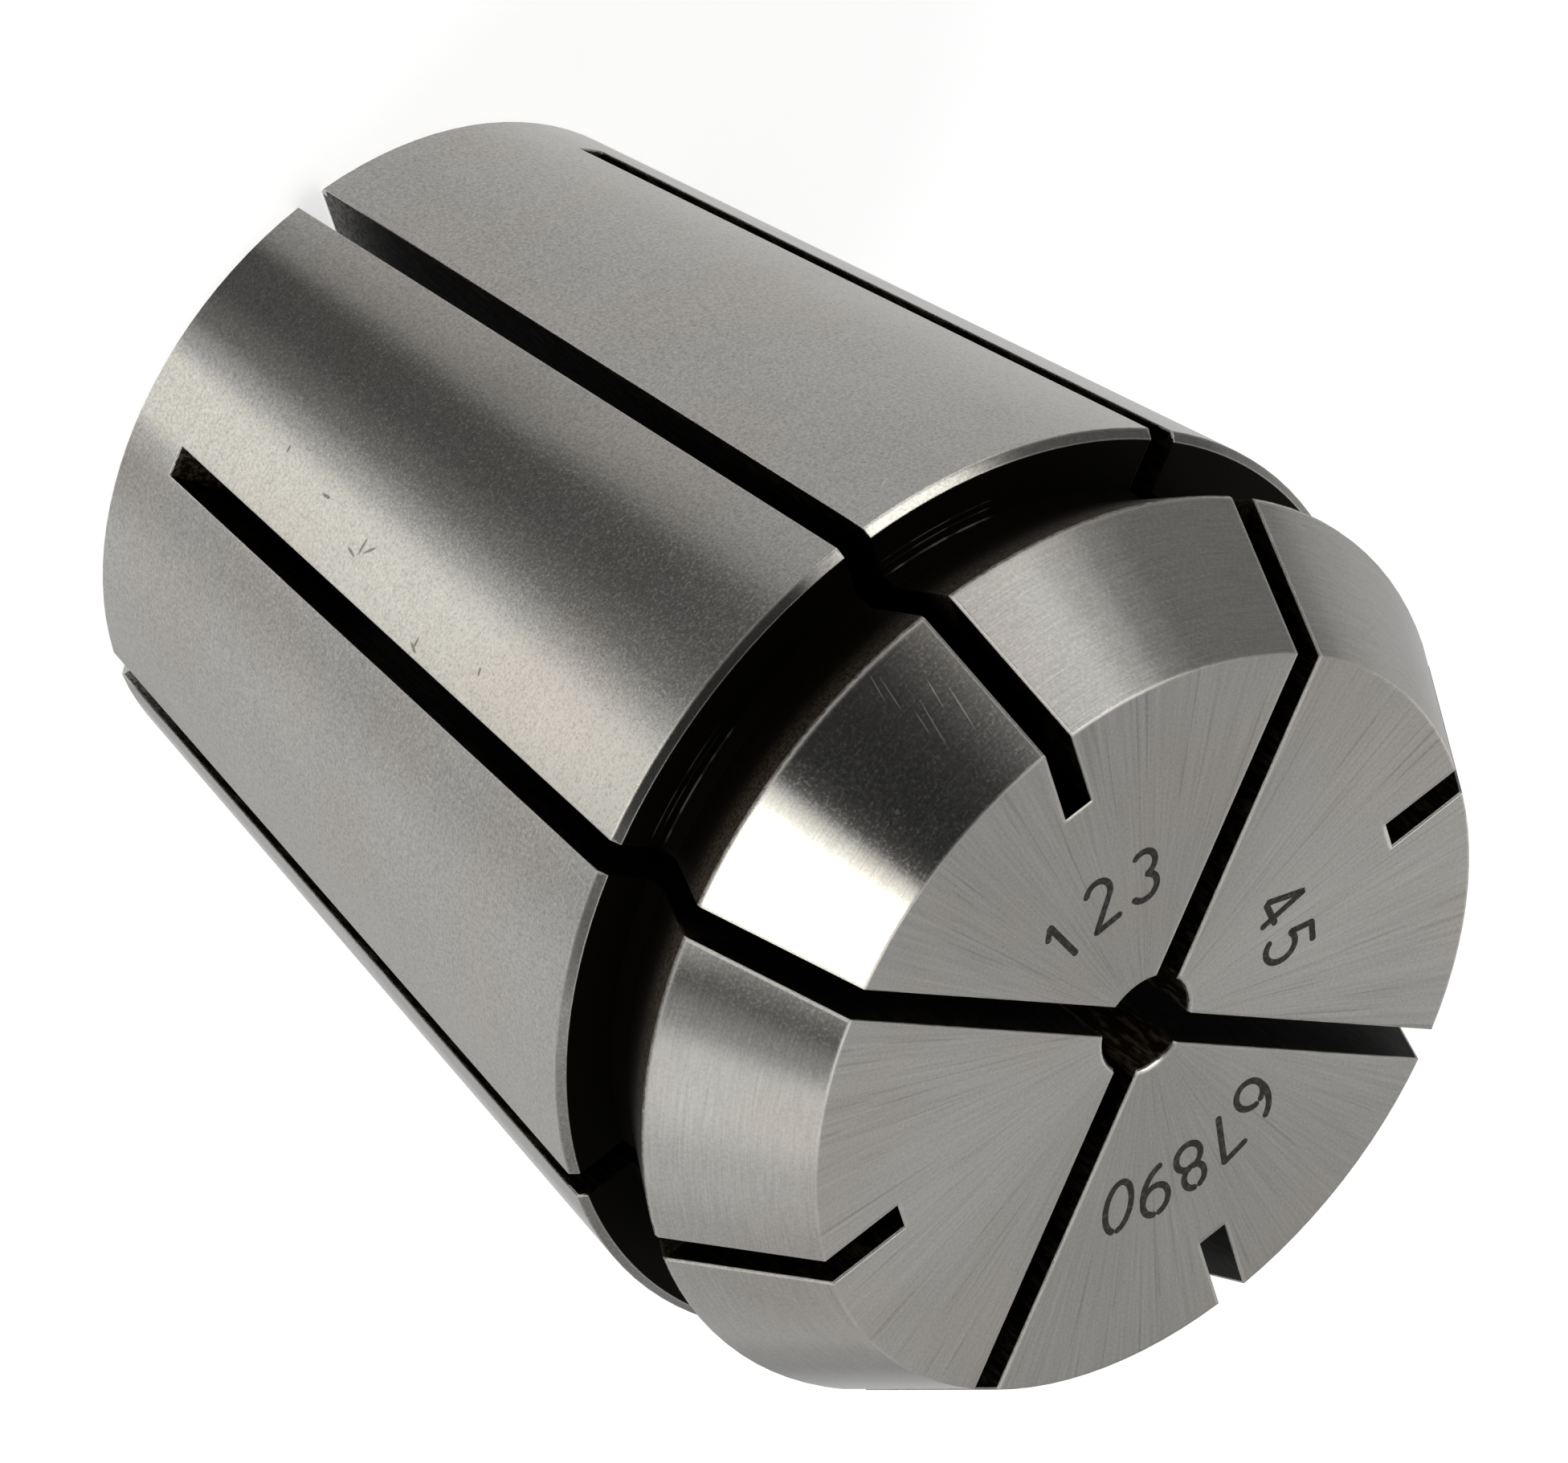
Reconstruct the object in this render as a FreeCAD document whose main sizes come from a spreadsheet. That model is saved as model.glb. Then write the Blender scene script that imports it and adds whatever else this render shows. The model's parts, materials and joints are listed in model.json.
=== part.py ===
import FreeCAD, Part
import os
import Sketcher

# A tapping collet for a chuck with an 8 degree seat: one hardened steel sleeve, standing on its small end.
# The axis is +Z, and the origin is the middle of the small end's flat face.
# Four long slots are sawn in from the nose and four from the small end, so that the eight leaves spring.

node_name = "collet"
least_cut = 1e-6
edge_match = 1e-4


# Driving dimensions, in millimetres and degrees

dimensions = [
    ("overall_length", "40"),
    ("taper_diameter", "33.27"),
    ("taper_half_angle", "8"),
    ("rim_chamfer", "0.28"),
    ("groove_diameter", "29"),
    ("groove_floor_width", "0.72"),
    ("groove_wall_angle", "30"),
    ("nose_diameter", "32.82"),
    ("nose_half_angle", "30"),
    ("face_diameter", "26.88"),
    ("nose_edge_chamfer", "0.1"),
    ("rear_edge_chamfer", "0.25"),
    ("shank_diameter", "3.5"),
    ("shank_depth", "18"),
    ("mouth_chamfer", "0.12"),
    ("square_flats", "2.75"),
    ("square_depth", "7"),
    ("relief_diameter", "12"),
    ("relief_mouth_chamfer", "0.4"),
    ("slot_width", "1.1"),
    ("saw_diameter", "40"),
    ("slots_each_end", "4"),
    ("front_slot_overlap", "0.75"),
    ("front_slot_web", "2.9"),
    ("rear_slot_wall", "1.25"),
    ("rear_slot_face_radius", "10.4"),
    ("saw_clearance", "1"),
]


# Sizes that follow from the driving ones, as expressions of the sheet

nose_base = (
    "(Sizes.overall_length - (Sizes.nose_diameter - Sizes.face_diameter) / 2"
    " / tan(Sizes.nose_half_angle))"
)
wall_foot = (
    "(" + nose_base + " - (Sizes.nose_diameter - Sizes.groove_diameter) / 2"
    " / tan(Sizes.groove_wall_angle))"
)
taper_length = "(" + wall_foot + " - Sizes.groove_floor_width)"
rear_radius = (
    "(Sizes.taper_diameter / 2 - " + taper_length + " * tan(Sizes.taper_half_angle))"
)
square_top = "(Sizes.overall_length - Sizes.shank_depth)"
square_bottom = "(Sizes.overall_length - Sizes.shank_depth - Sizes.square_depth)"
saw_radius = "(Sizes.saw_diameter / 2)"
past_rim = "(Sizes.taper_diameter / 2 + Sizes.saw_clearance)"
above_face = "(Sizes.overall_length + Sizes.saw_clearance)"
front_floor = "(Sizes.shank_diameter / 2 - Sizes.front_slot_overlap)"
web_radius = "(" + rear_radius + " + Sizes.front_slot_web * tan(Sizes.taper_half_angle))"
front_saw_height = (
    "(Sizes.front_slot_web + sqrt(" + saw_radius + "^2 - (" + saw_radius
    + " - (" + web_radius + " - " + front_floor + "))^2))"
)
front_saw_exit = (
    "(" + front_saw_height + " - sqrt(" + saw_radius + "^2 - (" + saw_radius
    + " - (" + past_rim + " - " + front_floor + "))^2))"
)
rear_floor = "(Sizes.shank_diameter / 2 + Sizes.rear_slot_wall)"
rear_saw_height = (
    "(Sizes.overall_length - sqrt(" + saw_radius + "^2 - (" + saw_radius
    + " - (Sizes.rear_slot_face_radius - " + rear_floor + "))^2))"
)
rear_saw_exit = (
    "(" + rear_floor + " + " + saw_radius + " - sqrt(" + saw_radius
    + "^2 - (" + above_face + " - " + rear_saw_height + ")^2))"
)


document = FreeCAD.newDocument("ErCollet")


def make_sheet():
    """The sheet of driving dimensions, one aliased cell each."""
    sheet = document.addObject("Spreadsheet::Sheet", "Sizes")
    for row, (alias, value) in enumerate(dimensions, start=1):
        sheet.set("A" + str(row), alias)
        sheet.set("B" + str(row), value)
        sheet.setAlias("B" + str(row), alias)
    document.recompute()
    return sheet


sizes = make_sheet()
body = document.addObject("PartDesign::Body", "Collet")
body.Label = node_name
body.Placement = FreeCAD.Placement()


def origin_feature(role):
    """One of the body's own planes or axes, found by its role."""
    return next(item for item in body.Origin.OriginFeatures if item.Role == role)


def value_of(expression):
    """The present value of an expression of the sheet, in the sheet's plain units."""
    result = sizes.evalExpression(expression)
    return float(getattr(result, "Value", result))


def new_sketch(name, role):
    """A sketch of the body on one of its origin planes."""
    sketch = body.newObject("Sketcher::SketchObject", name)
    sketch.AttachmentSupport = [(origin_feature(role), "")]
    sketch.MapMode = "FlatFace"
    return sketch


def pin_point(sketch, line, end, name, across, up):
    """Holds one end of a line at (across, up), each bound to an expression of the sheet."""
    for kind, text in (("DistanceX", across), ("DistanceY", up)):
        if text == "0":
            axis = -2 if kind == "DistanceX" else -1
            sketch.addConstraint(Sketcher.Constraint("PointOnObject", line, end, axis))
            continue
        place = sketch.addConstraint(
            Sketcher.Constraint(kind, -1, 1, line, end, value_of(text))
        )
        label = name + ("_r" if kind == "DistanceX" else "_z")
        sketch.renameConstraint(place, label)
        sketch.setExpression("Constraints." + label, text)


def closed_outline(sketch, corners, arc_after=None, arc_centre=None):
    """A closed outline through named corners; the stretch after corner arc_after is the saw's arc."""
    points = [FreeCAD.Vector(value_of(across), value_of(up), 0) for _, across, up in corners]
    count = len(points)
    edges = []
    for index, (name, _, _) in enumerate(corners):
        start = points[index]
        end = points[(index + 1) % count]
        if name == arc_after:
            centre = FreeCAD.Vector(value_of(arc_centre[0]), value_of(arc_centre[1]), 0)
            circle = Part.Circle(centre, FreeCAD.Vector(0, 0, 1), (start - centre).Length)
            edges.append(sketch.addGeometry(saw_arc(circle, start, end)))
        else:
            edges.append(sketch.addGeometry(Part.LineSegment(start, end)))
    for index, (name, across, up) in enumerate(corners):
        following = (index + 1) % count
        end_of_edge = nearest_end(sketch, edges[index], points[following])
        start_of_next = nearest_end(sketch, edges[following], points[following])
        sketch.addConstraint(
            Sketcher.Constraint(
                "Coincident", edges[index], end_of_edge, edges[following], start_of_next
            )
        )
        own_start = nearest_end(sketch, edges[index], points[index])
        pin_point(sketch, edges[index], own_start, name, across, up)
        if name == arc_after:
            place = sketch.addConstraint(
                Sketcher.Constraint("Radius", edges[index], value_of(saw_radius))
            )
            sketch.renameConstraint(place, "saw_radius")
            sketch.setExpression("Constraints.saw_radius", saw_radius)


def saw_arc(circle, start, end):
    """The shorter arc of the saw's circle from start to end."""
    first = circle.parameter(start)
    last = circle.parameter(end)
    forward = Part.ArcOfCircle(circle, first, last)
    backward = Part.ArcOfCircle(circle, last, first)
    return min(forward, backward, key=lambda arc: arc.length())


def nearest_end(sketch, edge, point):
    """Which end of an edge, 1 or 2, lies at the point."""
    first = (sketch.getPoint(edge, 1) - point).Length
    second = (sketch.getPoint(edge, 2) - point).Length
    return 1 if first <= second else 2


def revolve_feature(kind, name, sketch):
    """A full turn of the sketch about its own vertical axis."""
    feature = body.newObject(kind, name)
    feature.Profile = sketch
    feature.ReferenceAxis = (sketch, ["V_Axis"])
    feature.Angle = 360.0
    document.recompute()
    return feature


def circle_edges(shape, radius, height):
    """Names of the full circular edges of a given radius at a given height."""
    names = []
    for number, edge in enumerate(shape.Edges, start=1):
        curve = edge.Curve
        if not isinstance(curve, Part.Circle):
            continue
        if abs(curve.Radius - radius) < edge_match and abs(curve.Center.z - height) < edge_match:
            names.append("Edge" + str(number))
    if not names:
        raise RuntimeError("no round edge of radius %g at height %g" % (radius, height))
    return names


def edge_chamfer(name, base, radius, height, size_alias):
    """A chamfer on the round edge at a radius and height, bound to its size."""
    feature = body.newObject("PartDesign::Chamfer", name)
    feature.Base = (base, circle_edges(base.Shape, value_of(radius), value_of(height)))
    feature.setExpression("Size", "Sizes." + size_alias)
    document.recompute()
    return feature


def must_cut(name, before, after):
    """Stops if a cut took nothing off."""
    if after.Volume >= before - least_cut:
        raise RuntimeError(name + " cut nothing")
    print("%-20s volume %9.2f mm3" % (name, after.Volume))


# Blank: taper, extraction groove and nose cone, turned from one bar

blank_sketch = new_sketch("BlankProfile", "XZ_Plane")
closed_outline(
    blank_sketch,
    [
        ("axis_rear", "0", "0"),
        ("rear", rear_radius, "0"),
        ("rim", "Sizes.taper_diameter / 2", taper_length),
        ("groove_corner", "Sizes.groove_diameter / 2", taper_length),
        ("wall_foot", "Sizes.groove_diameter / 2", wall_foot),
        ("nose_edge", "Sizes.nose_diameter / 2", nose_base),
        ("face_edge", "Sizes.face_diameter / 2", "Sizes.overall_length"),
        ("axis_face", "0", "Sizes.overall_length"),
    ],
)
blank = revolve_feature("PartDesign::Revolution", "Blank", blank_sketch)
rim = edge_chamfer("TaperRim", blank, "Sizes.taper_diameter / 2", taper_length, "rim_chamfer")
nose_edge = edge_chamfer(
    "NoseEdge", rim, "Sizes.nose_diameter / 2", nose_base, "nose_edge_chamfer"
)
rear_edge = edge_chamfer("RearEdge", nose_edge, rear_radius, "0", "rear_edge_chamfer")


# Inside: grip bore from the nose, relief bore from the small end, square drive between them

grip_sketch = new_sketch("GripProfile", "XZ_Plane")
closed_outline(
    grip_sketch,
    [
        ("axis_face", "0", "Sizes.overall_length"),
        ("mouth", "Sizes.shank_diameter / 2 + Sizes.mouth_chamfer", "Sizes.overall_length"),
        ("wall_top", "Sizes.shank_diameter / 2", "Sizes.overall_length - Sizes.mouth_chamfer"),
        ("wall_bottom", "Sizes.shank_diameter / 2", square_top),
        ("axis_bottom", "0", square_top),
    ],
)
grip_bore = revolve_feature("PartDesign::Groove", "GripBore", grip_sketch)
must_cut("grip bore", rear_edge.Shape.Volume, grip_bore.Shape)

relief_sketch = new_sketch("ReliefProfile", "XZ_Plane")
closed_outline(
    relief_sketch,
    [
        ("axis_rear", "0", "0"),
        ("mouth", "Sizes.relief_diameter / 2 + Sizes.relief_mouth_chamfer", "0"),
        ("wall_bottom", "Sizes.relief_diameter / 2", "Sizes.relief_mouth_chamfer"),
        ("wall_top", "Sizes.relief_diameter / 2", square_bottom),
        ("axis_top", "0", square_bottom),
    ],
)
relief_bore = revolve_feature("PartDesign::Groove", "ReliefBore", relief_sketch)
must_cut("relief bore", grip_bore.Shape.Volume, relief_bore.Shape)

square_sketch = new_sketch("SquareProfile", "XY_Plane")
square_sketch.setExpression("AttachmentOffset.Base.z", square_bottom)
half_flats = "Sizes.square_flats / 2"
closed_outline(
    square_sketch,
    [
        ("left_front", "-" + half_flats, "-" + half_flats),
        ("right_front", half_flats, "-" + half_flats),
        ("right_back", half_flats, half_flats),
        ("left_back", "-" + half_flats, half_flats),
    ],
)
square_drive = body.newObject("PartDesign::Pocket", "SquareDrive")
square_drive.Profile = square_sketch
square_drive.Reversed = True
square_drive.setExpression("Length", "Sizes.square_depth")
document.recompute()
must_cut("square drive", relief_bore.Shape.Volume, square_drive.Shape)


# Slots: one sawn path for each end, repeated round the axis; the rear ones stand half a pitch on

def saw_slot(name, sketch):
    """A slot one saw wide, cut evenly to both sides of its sketch."""
    slot = body.newObject("PartDesign::Pocket", name)
    slot.Profile = sketch
    slot.Midplane = True
    slot.setExpression("Length", "Sizes.slot_width")
    document.recompute()
    return slot


def slots_round_axis(name, slot):
    """The same slot spaced evenly round the axis."""
    pattern = body.newObject("PartDesign::PolarPattern", name)
    pattern.Originals = [slot]
    pattern.Axis = (origin_feature("Z_Axis"), [""])
    pattern.Angle = 360.0
    pattern.setExpression("Occurrences", "Sizes.slots_each_end")
    body.Tip = pattern
    document.recompute()
    return pattern


front_sketch = new_sketch("FrontSlotPath", "XZ_Plane")
closed_outline(
    front_sketch,
    [
        ("face_floor", front_floor, above_face),
        ("face_out", past_rim, above_face),
        ("saw_exit", past_rim, front_saw_exit),
        ("saw_floor", front_floor, front_saw_height),
    ],
    arc_after="saw_exit",
    arc_centre=(front_floor + " + " + saw_radius, front_saw_height),
)
front_slot = saw_slot("FrontSlot", front_sketch)
must_cut("one front slot", square_drive.Shape.Volume, front_slot.Shape)
front_slots = slots_round_axis("FrontSlots", front_slot)
must_cut("front slots", front_slot.Shape.Volume, front_slots.Shape)

rear_sketch = new_sketch("RearSlotPath", "XZ_Plane")
half_pitch = "180 deg / Sizes.slots_each_end"
rear_sketch.AttachmentOffset = FreeCAD.Placement(
    FreeCAD.Vector(0, 0, 0), FreeCAD.Rotation(FreeCAD.Vector(0, 1, 0), value_of(half_pitch))
)
rear_sketch.setExpression("AttachmentOffset.Rotation.Angle", half_pitch)
closed_outline(
    rear_sketch,
    [
        ("below_rear_floor", rear_floor, "-Sizes.saw_clearance"),
        ("below_rear_out", past_rim, "-Sizes.saw_clearance"),
        ("face_out", past_rim, above_face),
        ("saw_exit", rear_saw_exit, above_face),
        ("saw_floor", rear_floor, rear_saw_height),
    ],
    arc_after="saw_exit",
    arc_centre=(rear_floor + " + " + saw_radius, rear_saw_height),
)
rear_slot = saw_slot("RearSlot", rear_sketch)
must_cut("one rear slot", front_slots.Shape.Volume, rear_slot.Shape)
rear_slots = slots_round_axis("RearSlots", rear_slot)
must_cut("rear slots", rear_slot.Shape.Volume, rear_slots.Shape)


# Check and write

def check_and_write():
    """Stops on any failed object, then writes the one solid."""
    for item in document.Objects:
        if "Invalid" in item.State or "Error" in item.State:
            raise RuntimeError(item.Name + " failed: " + ", ".join(item.State))
    shape = body.Shape
    if shape.isNull() or not shape.isValid() or len(shape.Solids) != 1:
        raise RuntimeError(node_name + " is not one valid solid")
    os.makedirs("parts", exist_ok=True)
    shape.exportStep(os.path.join("parts", body.Label + ".step"))
    box = shape.optimalBoundingBox()
    print("%s: %.3f x %.3f x %.3f mm" % (body.Label, box.XLength, box.YLength, box.ZLength))


check_and_write()
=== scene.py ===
import json
import math
import bpy
import numpy as np
from mathutils import Matrix, Vector


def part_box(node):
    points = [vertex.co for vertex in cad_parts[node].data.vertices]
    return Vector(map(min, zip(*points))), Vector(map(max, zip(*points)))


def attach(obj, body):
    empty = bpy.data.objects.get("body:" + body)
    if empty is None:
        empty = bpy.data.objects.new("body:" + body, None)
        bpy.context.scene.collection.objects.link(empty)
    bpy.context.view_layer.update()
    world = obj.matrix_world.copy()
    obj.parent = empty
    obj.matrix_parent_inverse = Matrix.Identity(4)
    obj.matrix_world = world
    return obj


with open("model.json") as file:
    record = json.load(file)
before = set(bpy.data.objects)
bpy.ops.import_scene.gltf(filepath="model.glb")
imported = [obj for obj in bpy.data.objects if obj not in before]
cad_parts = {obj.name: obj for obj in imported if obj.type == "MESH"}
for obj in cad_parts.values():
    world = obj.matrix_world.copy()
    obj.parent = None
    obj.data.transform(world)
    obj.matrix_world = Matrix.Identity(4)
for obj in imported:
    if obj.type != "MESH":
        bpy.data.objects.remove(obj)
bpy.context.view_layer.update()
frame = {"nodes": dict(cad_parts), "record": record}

mm = 0.001
micron = 1e-6
colletNode = frame["nodes"]["collet"]
mounts = {mount["name"]: mount for mount in frame["record"]["mounts"]}


# Form of the collet, in millimetres and degrees, for its finishes, its numbers and the light tent

form = {
    "taperAngle": 8.0,
    "noseAngle": 30.0,
    "smallRadius": 12.30,
    "noseRadius": 16.41,
    "grooveRadius": 14.50,
    "grooveZ": mounts["extraction_groove"]["pos_m"][2] / mm,   # where the taper ends and the groove begins
    "noseZ": mounts["nose_cone"]["pos_m"][2] / mm,             # where the groove ends and the cone begins
    "faceZ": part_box("collet")[1].z / mm,
    "rimWidth": 0.28,
}
taperSlope = math.tan(math.radians(form["taperAngle"]))     # radius gained with each millimetre of height
noseSlope = math.tan(math.radians(form["noseAngle"]))       # radius lost with each millimetre on the cone
coneBase = form["noseRadius"] + form["noseZ"] * noseSlope   # the cone's radius, carried down to height zero


# Small helpers for meshes and shader nodes

# Mesh object from arrays of points and faces; uv holds one (u, v) row for each point
def newObject(name, points, faces, smooth=True, uv=None):
    mesh = bpy.data.meshes.new(name)
    mesh.from_pydata(points.tolist(), [], faces.tolist())
    mesh.polygons.foreach_set("use_smooth", np.full(len(mesh.polygons), smooth))
    if uv is not None:
        corner = np.empty(len(mesh.loops), dtype=np.int64)
        mesh.loops.foreach_get("vertex_index", corner)
        mesh.uv_layers.new(name="along").data.foreach_set("uv", uv[corner].astype(np.float32).ravel())
    mesh.update()
    piece = bpy.data.objects.new(name, mesh)
    bpy.context.collection.objects.link(piece)
    return piece


# Quads of a grid whose points are stored row after row; closed joins the last column to the first
def gridFaces(rows, columns, closed=False):
    across = columns if closed else columns - 1
    row, column = np.meshgrid(np.arange(rows - 1), np.arange(across), indexing="ij")
    nextColumn = (column + 1) % columns
    corners = [row * columns + column, row * columns + nextColumn,
               (row + 1) * columns + nextColumn, (row + 1) * columns + column]
    return np.stack([corner.ravel() for corner in corners], axis=1)


# Empty node material; returns the material and its tree
def newMaterial(name):
    material = bpy.data.materials.new(name)
    material.use_nodes = True
    material.node_tree.nodes.clear()
    return material, material.node_tree


# Node with its settings and inputs; an input is a plain value or another node's socket
def add(tree, kind, inputs=None, **settings):
    node = tree.nodes.new("ShaderNode" + kind)
    for name, value in settings.items():
        setattr(node, name, value)
    for name, value in (inputs or {}).items():
        if isinstance(value, bpy.types.NodeSocket):
            tree.links.new(value, node.inputs[name])
        else:
            node.inputs[name].default_value = value
    return node


# Result of one Math node on two or three numbers
def calc(tree, operation, first, second=0.0, third=0.0, clamp=False):
    return add(tree, "Math", {0: first, 1: second, 2: third}, operation=operation, use_clamp=clamp).outputs[0]


# Product of any number of values
def product(tree, first, *others):
    for other in others:
        first = calc(tree, "MULTIPLY", first, other)
    return first


# Vector times a plain triple, component by component
def stretched(tree, vector, triple):
    return add(tree, "VectorMath", {0: vector, 1: triple}, operation="MULTIPLY").outputs[0]


# Smooth step from toLow at low to toHigh at high
def fade(tree, value, low, high, toLow=0.0, toHigh=1.0):
    return add(tree, "MapRange", {"Value": value, "From Min": low, "From Max": high,
                                  "To Min": toLow, "To Max": toHigh},
               interpolation_type="SMOOTHSTEP").outputs["Result"]


# Smooth step over a border, whose two numbers are laid off from an origin
def past(tree, value, border, origin=0.0):
    return fade(tree, value, origin + border[0], origin + border[1])


# Noise value, about 0.3 to 0.7 and 0.5 on average
def noise(tree, vector, scale=1.0, detail=1.0, rough=0.5):
    return add(tree, "TexNoise", {"Vector": vector, "Scale": scale, "Detail": detail,
                                  "Roughness": rough}).outputs["Fac"]


# How far a noise value lies from its average
def fromMiddle(tree, value):
    return calc(tree, "SUBTRACT", value, 0.5)


# Noise about zero, times an amount
def ripple(tree, vector, amount, scale, detail):
    return calc(tree, "MULTIPLY_ADD", noise(tree, vector, scale, detail), 2 * amount, -amount)


# Pattern that noise makes. Its row holds cells to the millimetre, detail, roughness, and the two noise values
# between which the pattern passes from its least to its most.
def pattern(tree, vector, row, least=0.0, most=1.0):
    cells, detail, rough, low, high = row
    return fade(tree, noise(tree, vector, cells, detail, rough), low, high, least, most)


# Mix of two plain numbers
def blend(tree, factor, first, second):
    return add(tree, "Mix", {"Factor": factor, "A": first, "B": second}, data_type="FLOAT").outputs[0]


# Mix of two colours
def blendColour(tree, factor, first, second):
    node = add(tree, "Mix", data_type="RGBA")
    for index, value in ((0, factor), (6, first), (7, second)):     # the node's colour sockets are 6 and 7
        if isinstance(value, bpy.types.NodeSocket):
            tree.links.new(value, node.inputs[index])
        else:
            node.inputs[index].default_value = value
    return node.outputs[2]


# Colour times a plain number
def shaded(tree, colour, factor):
    return add(tree, "VectorMath", {0: colour, "Scale": factor}, operation="SCALE").outputs[0]


# Place on the piece, in millimetres
def placeInMillimetres(tree):
    coordinates = add(tree, "TexCoord").outputs["Object"]
    return add(tree, "VectorMath", {0: coordinates, "Scale": 1 / mm}, operation="SCALE").outputs[0]


# Camera, at the photograph's angle

camera = {
    "sensor": 36.0,
    "lens": 364.353,
    "azimuth": 248.035,       # degrees round +Z from +X
    "elevation": 39.115,
    "roll": -127.5415,
    "aim": (-0.000347, 0.00014, 0.020788),
    "distance": 0.519406,
}


# Unit vector of an azimuth and an elevation in degrees
def directionOf(azimuth, elevation):
    a, e = math.radians(azimuth), math.radians(elevation)
    return Vector((math.cos(e) * math.cos(a), math.cos(e) * math.sin(a), math.sin(e)))


towardsCamera = directionOf(camera["azimuth"], camera["elevation"])


# Camera that looks at the aim point, rolled about its own line of sight
def makeCamera():
    lens = bpy.data.cameras.new("camera")
    lens.sensor_width = camera["sensor"]
    lens.lens = camera["lens"]
    view = bpy.data.objects.new("camera", lens)
    bpy.context.collection.objects.link(view)
    back = towardsCamera
    level = (Vector((0, 0, 1)) - back * back.z).normalized()
    side = level.cross(back)
    roll = math.radians(camera["roll"])
    up = level * math.cos(roll) + side * math.sin(roll)
    view.rotation_euler = Matrix((up.cross(back), up, back)).transposed().to_euler()
    view.location = Vector(camera["aim"]) + back * camera["distance"]
    bpy.context.scene.camera = view


makeCamera()
print("camera placed")


# Studio: a pale floor, plain air and one soft lamp

studio = {
    "floorSize": 6.0,
    "floorDrop": 0.05 * mm,
    "floorColour": (0.80, 0.80, 0.80, 1),
    "floorGlow": 0.70,        # what the camera and mirrors see besides the lamp's light
    "airSeen": 1.0,
    "airLight": 0.36,
    "keyPower": 2.0,
    "keySize": 0.5,
    "keyDirection": (330, 62),
    "keyDistance": 0.9,
}

# Light tent: cards round the collet that only mirrors see; each list holds (degrees, brightness) stops
tent = {
    "turnPoints": 361,        # points round the floor card and the wall, one to a degree
    "cardLift": 0.12 * mm,
    "cardReach": 450 * mm,    # height on the taper that the floor card's far edge would mirror
    "cardRows": 40,
    "nearHeight": 34 * mm,
    "farHeight": 50 * mm,
    "wallRadius": 0.34,
    "wallHeight": 0.45,
    "lowChange": (0.200, 0.235),        # heights between which the wall turns from low stops to middle ones
    "highChange": (0.275, 0.300),       # and from those to its high ones
    "domeRise": 0.08,
    "domeGrid": (12, 96),     # rows and points round it
    "domeHole": 0.003,        # share of the radius left open at its top
    "warmWhite": (1.0, 0.985, 0.93, 1),
    "warmFrom": 0.9,
    "warmTo": 1.2,
    # by azimuth on the taper, for the part of the floor card that the taper mirrors
    "floorNear": [
        (0, 0.66), (150, 0.68), (185, 0.73), (200, 0.66), (216, 0.61), (228, 0.57), (233, 0.42),
        (238, 0.12), (244, 0.12), (250, 0.24), (254, 0.62), (258, 1.30), (266, 1.27), (271, 0.75),
        (275, 0.58), (288, 0.75), (305, 0.66), (317, 0.52), (321, 0.46), (325, 0.86), (331, 1.0),
        (345, 0.66)],
    # the same for the part beyond, which the cone mirrors
    "floorFar": [
        (0, 0.56), (150, 0.50), (172, 0.52), (180, 0.55), (184, 0.51), (187, 0.46), (190.5, 0.32),
        (194, 0.27), (202, 0.25), (220, 0.45), (290, 0.52), (305, 0.56), (314, 0.56), (318.5, 0.43),
        (321.5, 0.375), (325, 0.455), (329, 0.54), (333, 0.60), (338, 0.58)],
    # by direction, for the low part of the wall, which the cone mirrors
    "wallLow": [
        (0, 0.55), (24, 0.50), (38, 0.42), (55, 0.30), (68, 0.32), (80, 1.1), (96, 1.1), (104, 0.56),
        (118, 0.43), (127, 0.27), (142, 0.24), (163, 0.25), (172, 0.36), (179, 0.66), (188, 1.0),
        (199, 0.92), (209, 0.50), (217, 0.12), (226, 0.05), (236, 0.035), (246, 0.035), (253, 0.08),
        (258, 1.5), (263, 3.4), (283, 3.4), (291, 0.8), (298, 0.16), (306, 0.42), (314, 1.0),
        (324, 1.0), (338, 0.75)],
    # the same for its middle part, which the face and the sides of the rim mirror
    "wallMiddle": [
        (0, 0.40), (50, 0.42), (66, 0.46), (75, 0.90), (85, 0.90), (93, 0.46), (104, 0.40),
        (146, 0.25), (158, 0.8), (166, 4.0), (204, 4.0), (212, 1.0), (219, 0.42)],
    # the same for its high part, which the face and the rest of the rim mirror
    "wallHigh": [
        (0, 0.40), (34, 0.42), (47, 0.85), (59, 0.85), (67, 0.46), (104, 0.40), (146, 0.25),
        (158, 0.8), (166, 4.0), (204, 4.0), (212, 1.0), (219, 0.05), (280, 0.04), (292, 0.45),
        (341, 0.45)],
    "ceilingGrey": 0.42,
}


# Emission strength from the stops over one turn; turn runs from 0 to 1
def strengthByTurn(tree, turn, stops):
    ramp = tree.nodes.new("ShaderNodeValToRGB")
    ramp.color_ramp.interpolation = "EASE"
    elements = ramp.color_ramp.elements
    places = stops + [(360, stops[0][1])]
    peak = max(strength for _, strength in places)
    while len(elements) < len(places):
        elements.new(0.5)     # anywhere: each gets its place below
    for element, (degrees, strength) in zip(elements, places):
        element.position = degrees / 360
        element.color = (strength / peak, strength / peak, strength / peak, 1)
    tree.links.new(turn, ramp.inputs[0])
    return calc(tree, "MULTIPLY", ramp.outputs[0], peak)


# Material that glows by itself and is never sampled as a lamp
def glowing(material, tree, shader):
    add(tree, "OutputMaterial", {"Surface": shader.outputs[0]})
    material.cycles.emission_sampling = "NONE"
    return material


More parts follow.
